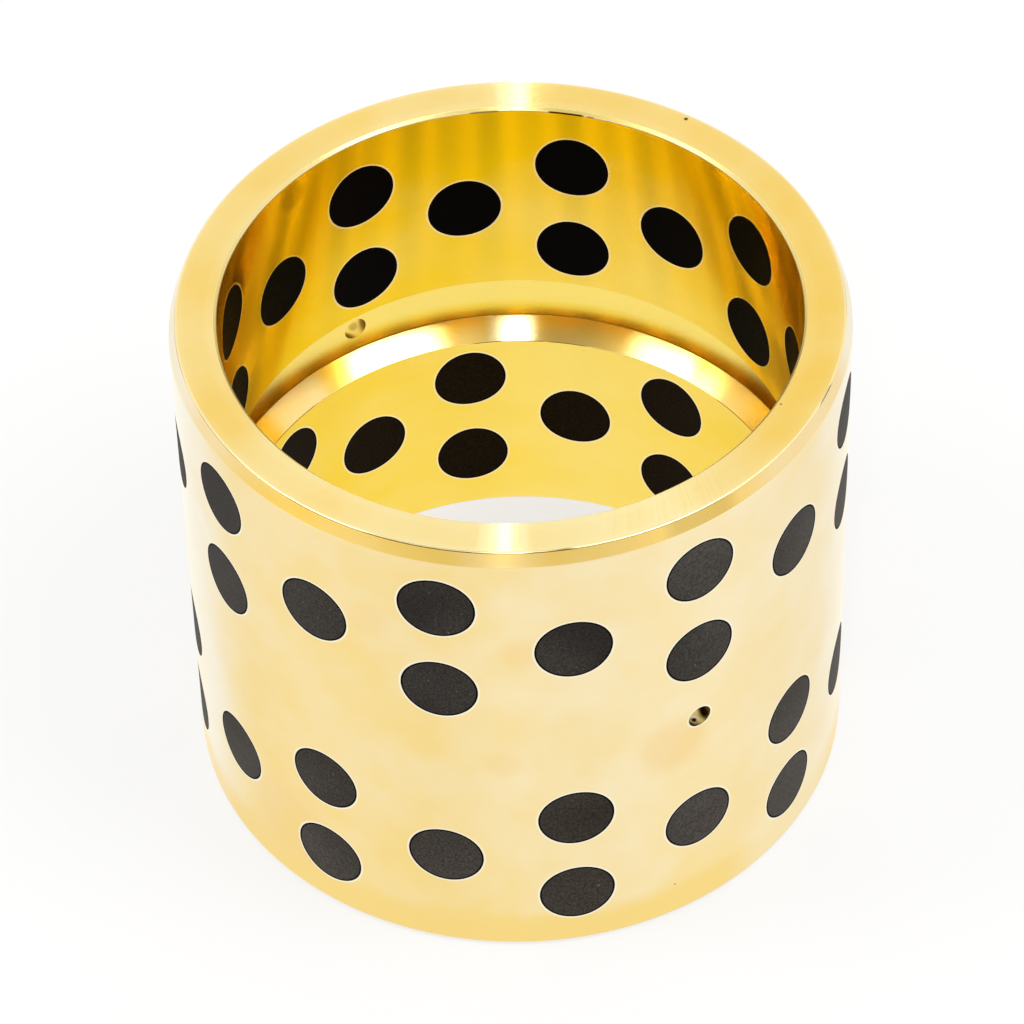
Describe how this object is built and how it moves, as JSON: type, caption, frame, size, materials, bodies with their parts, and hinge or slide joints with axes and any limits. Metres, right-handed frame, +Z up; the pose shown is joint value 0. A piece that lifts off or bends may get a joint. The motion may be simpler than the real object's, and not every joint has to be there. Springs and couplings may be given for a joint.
{
  "type": "graphite plugged bushing",
  "caption": "Plain cylindrical bronze bushing with flush graphite plugs staggered over its wall, a ring grease groove half-way up the bore and radial grease holes.",
  "frame": {"origin": "centre of the base on the bore's axis", "axes": "+Z up along the bore towards the lead-in end, the two grease holes on -Y and +Y"},
  "size_m": [0.105, 0.105, 0.09],
  "materials": {
    "bronze": "fine-turned bare metal, satin outside and on the ends, brighter in the bore",
    "graphite": "dry matte grey-black with fine grain"
  },
  "bodies": {
    "root": {"bronze_sleeve": "bronze", "graphite_plug_c01_r1": "graphite", "graphite_plug_c01_r3": "graphite", "graphite_plug_c01_r5": "graphite", "graphite_plug_c02_r2": "graphite", "graphite_plug_c02_r4": "graphite", "graphite_plug_c02_r6": "graphite", "graphite_plug_c03_r1": "graphite", "graphite_plug_c03_r3": "graphite", "graphite_plug_c03_r5": "graphite", "graphite_plug_c04_r2": "graphite", "graphite_plug_c04_r4": "graphite", "graphite_plug_c04_r6": "graphite", "graphite_plug_c05_r1": "graphite", "graphite_plug_c05_r3": "graphite", "graphite_plug_c05_r5": "graphite", "graphite_plug_c06_r2": "graphite", "graphite_plug_c06_r4": "graphite", "graphite_plug_c06_r6": "graphite", "graphite_plug_c07_r1": "graphite", "graphite_plug_c07_r3": "graphite", "graphite_plug_c07_r5": "graphite", "graphite_plug_c08_r2": "graphite", "graphite_plug_c08_r4": "graphite", "graphite_plug_c08_r6": "graphite", "graphite_plug_c09_r1": "graphite", "graphite_plug_c09_r3": "graphite", "graphite_plug_c09_r5": "graphite", "graphite_plug_c10_r2": "graphite", "graphite_plug_c10_r4": "graphite", "graphite_plug_c10_r6": "graphite", "graphite_plug_c11_r1": "graphite", "graphite_plug_c11_r3": "graphite", "graphite_plug_c11_r5": "graphite", "graphite_plug_c12_r2": "graphite", "graphite_plug_c12_r4": "graphite", "graphite_plug_c12_r6": "graphite", "graphite_plug_c13_r1": "graphite", "graphite_plug_c13_r3": "graphite", "graphite_plug_c13_r5": "graphite", "graphite_plug_c14_r2": "graphite", "graphite_plug_c14_r4": "graphite", "graphite_plug_c14_r6": "graphite", "graphite_plug_c15_r1": "graphite", "graphite_plug_c15_r3": "graphite", "graphite_plug_c15_r5": "graphite", "graphite_plug_c16_r2": "graphite", "graphite_plug_c16_r4": "graphite", "graphite_plug_c16_r6": "graphite"}
  },
  "joints": []
}
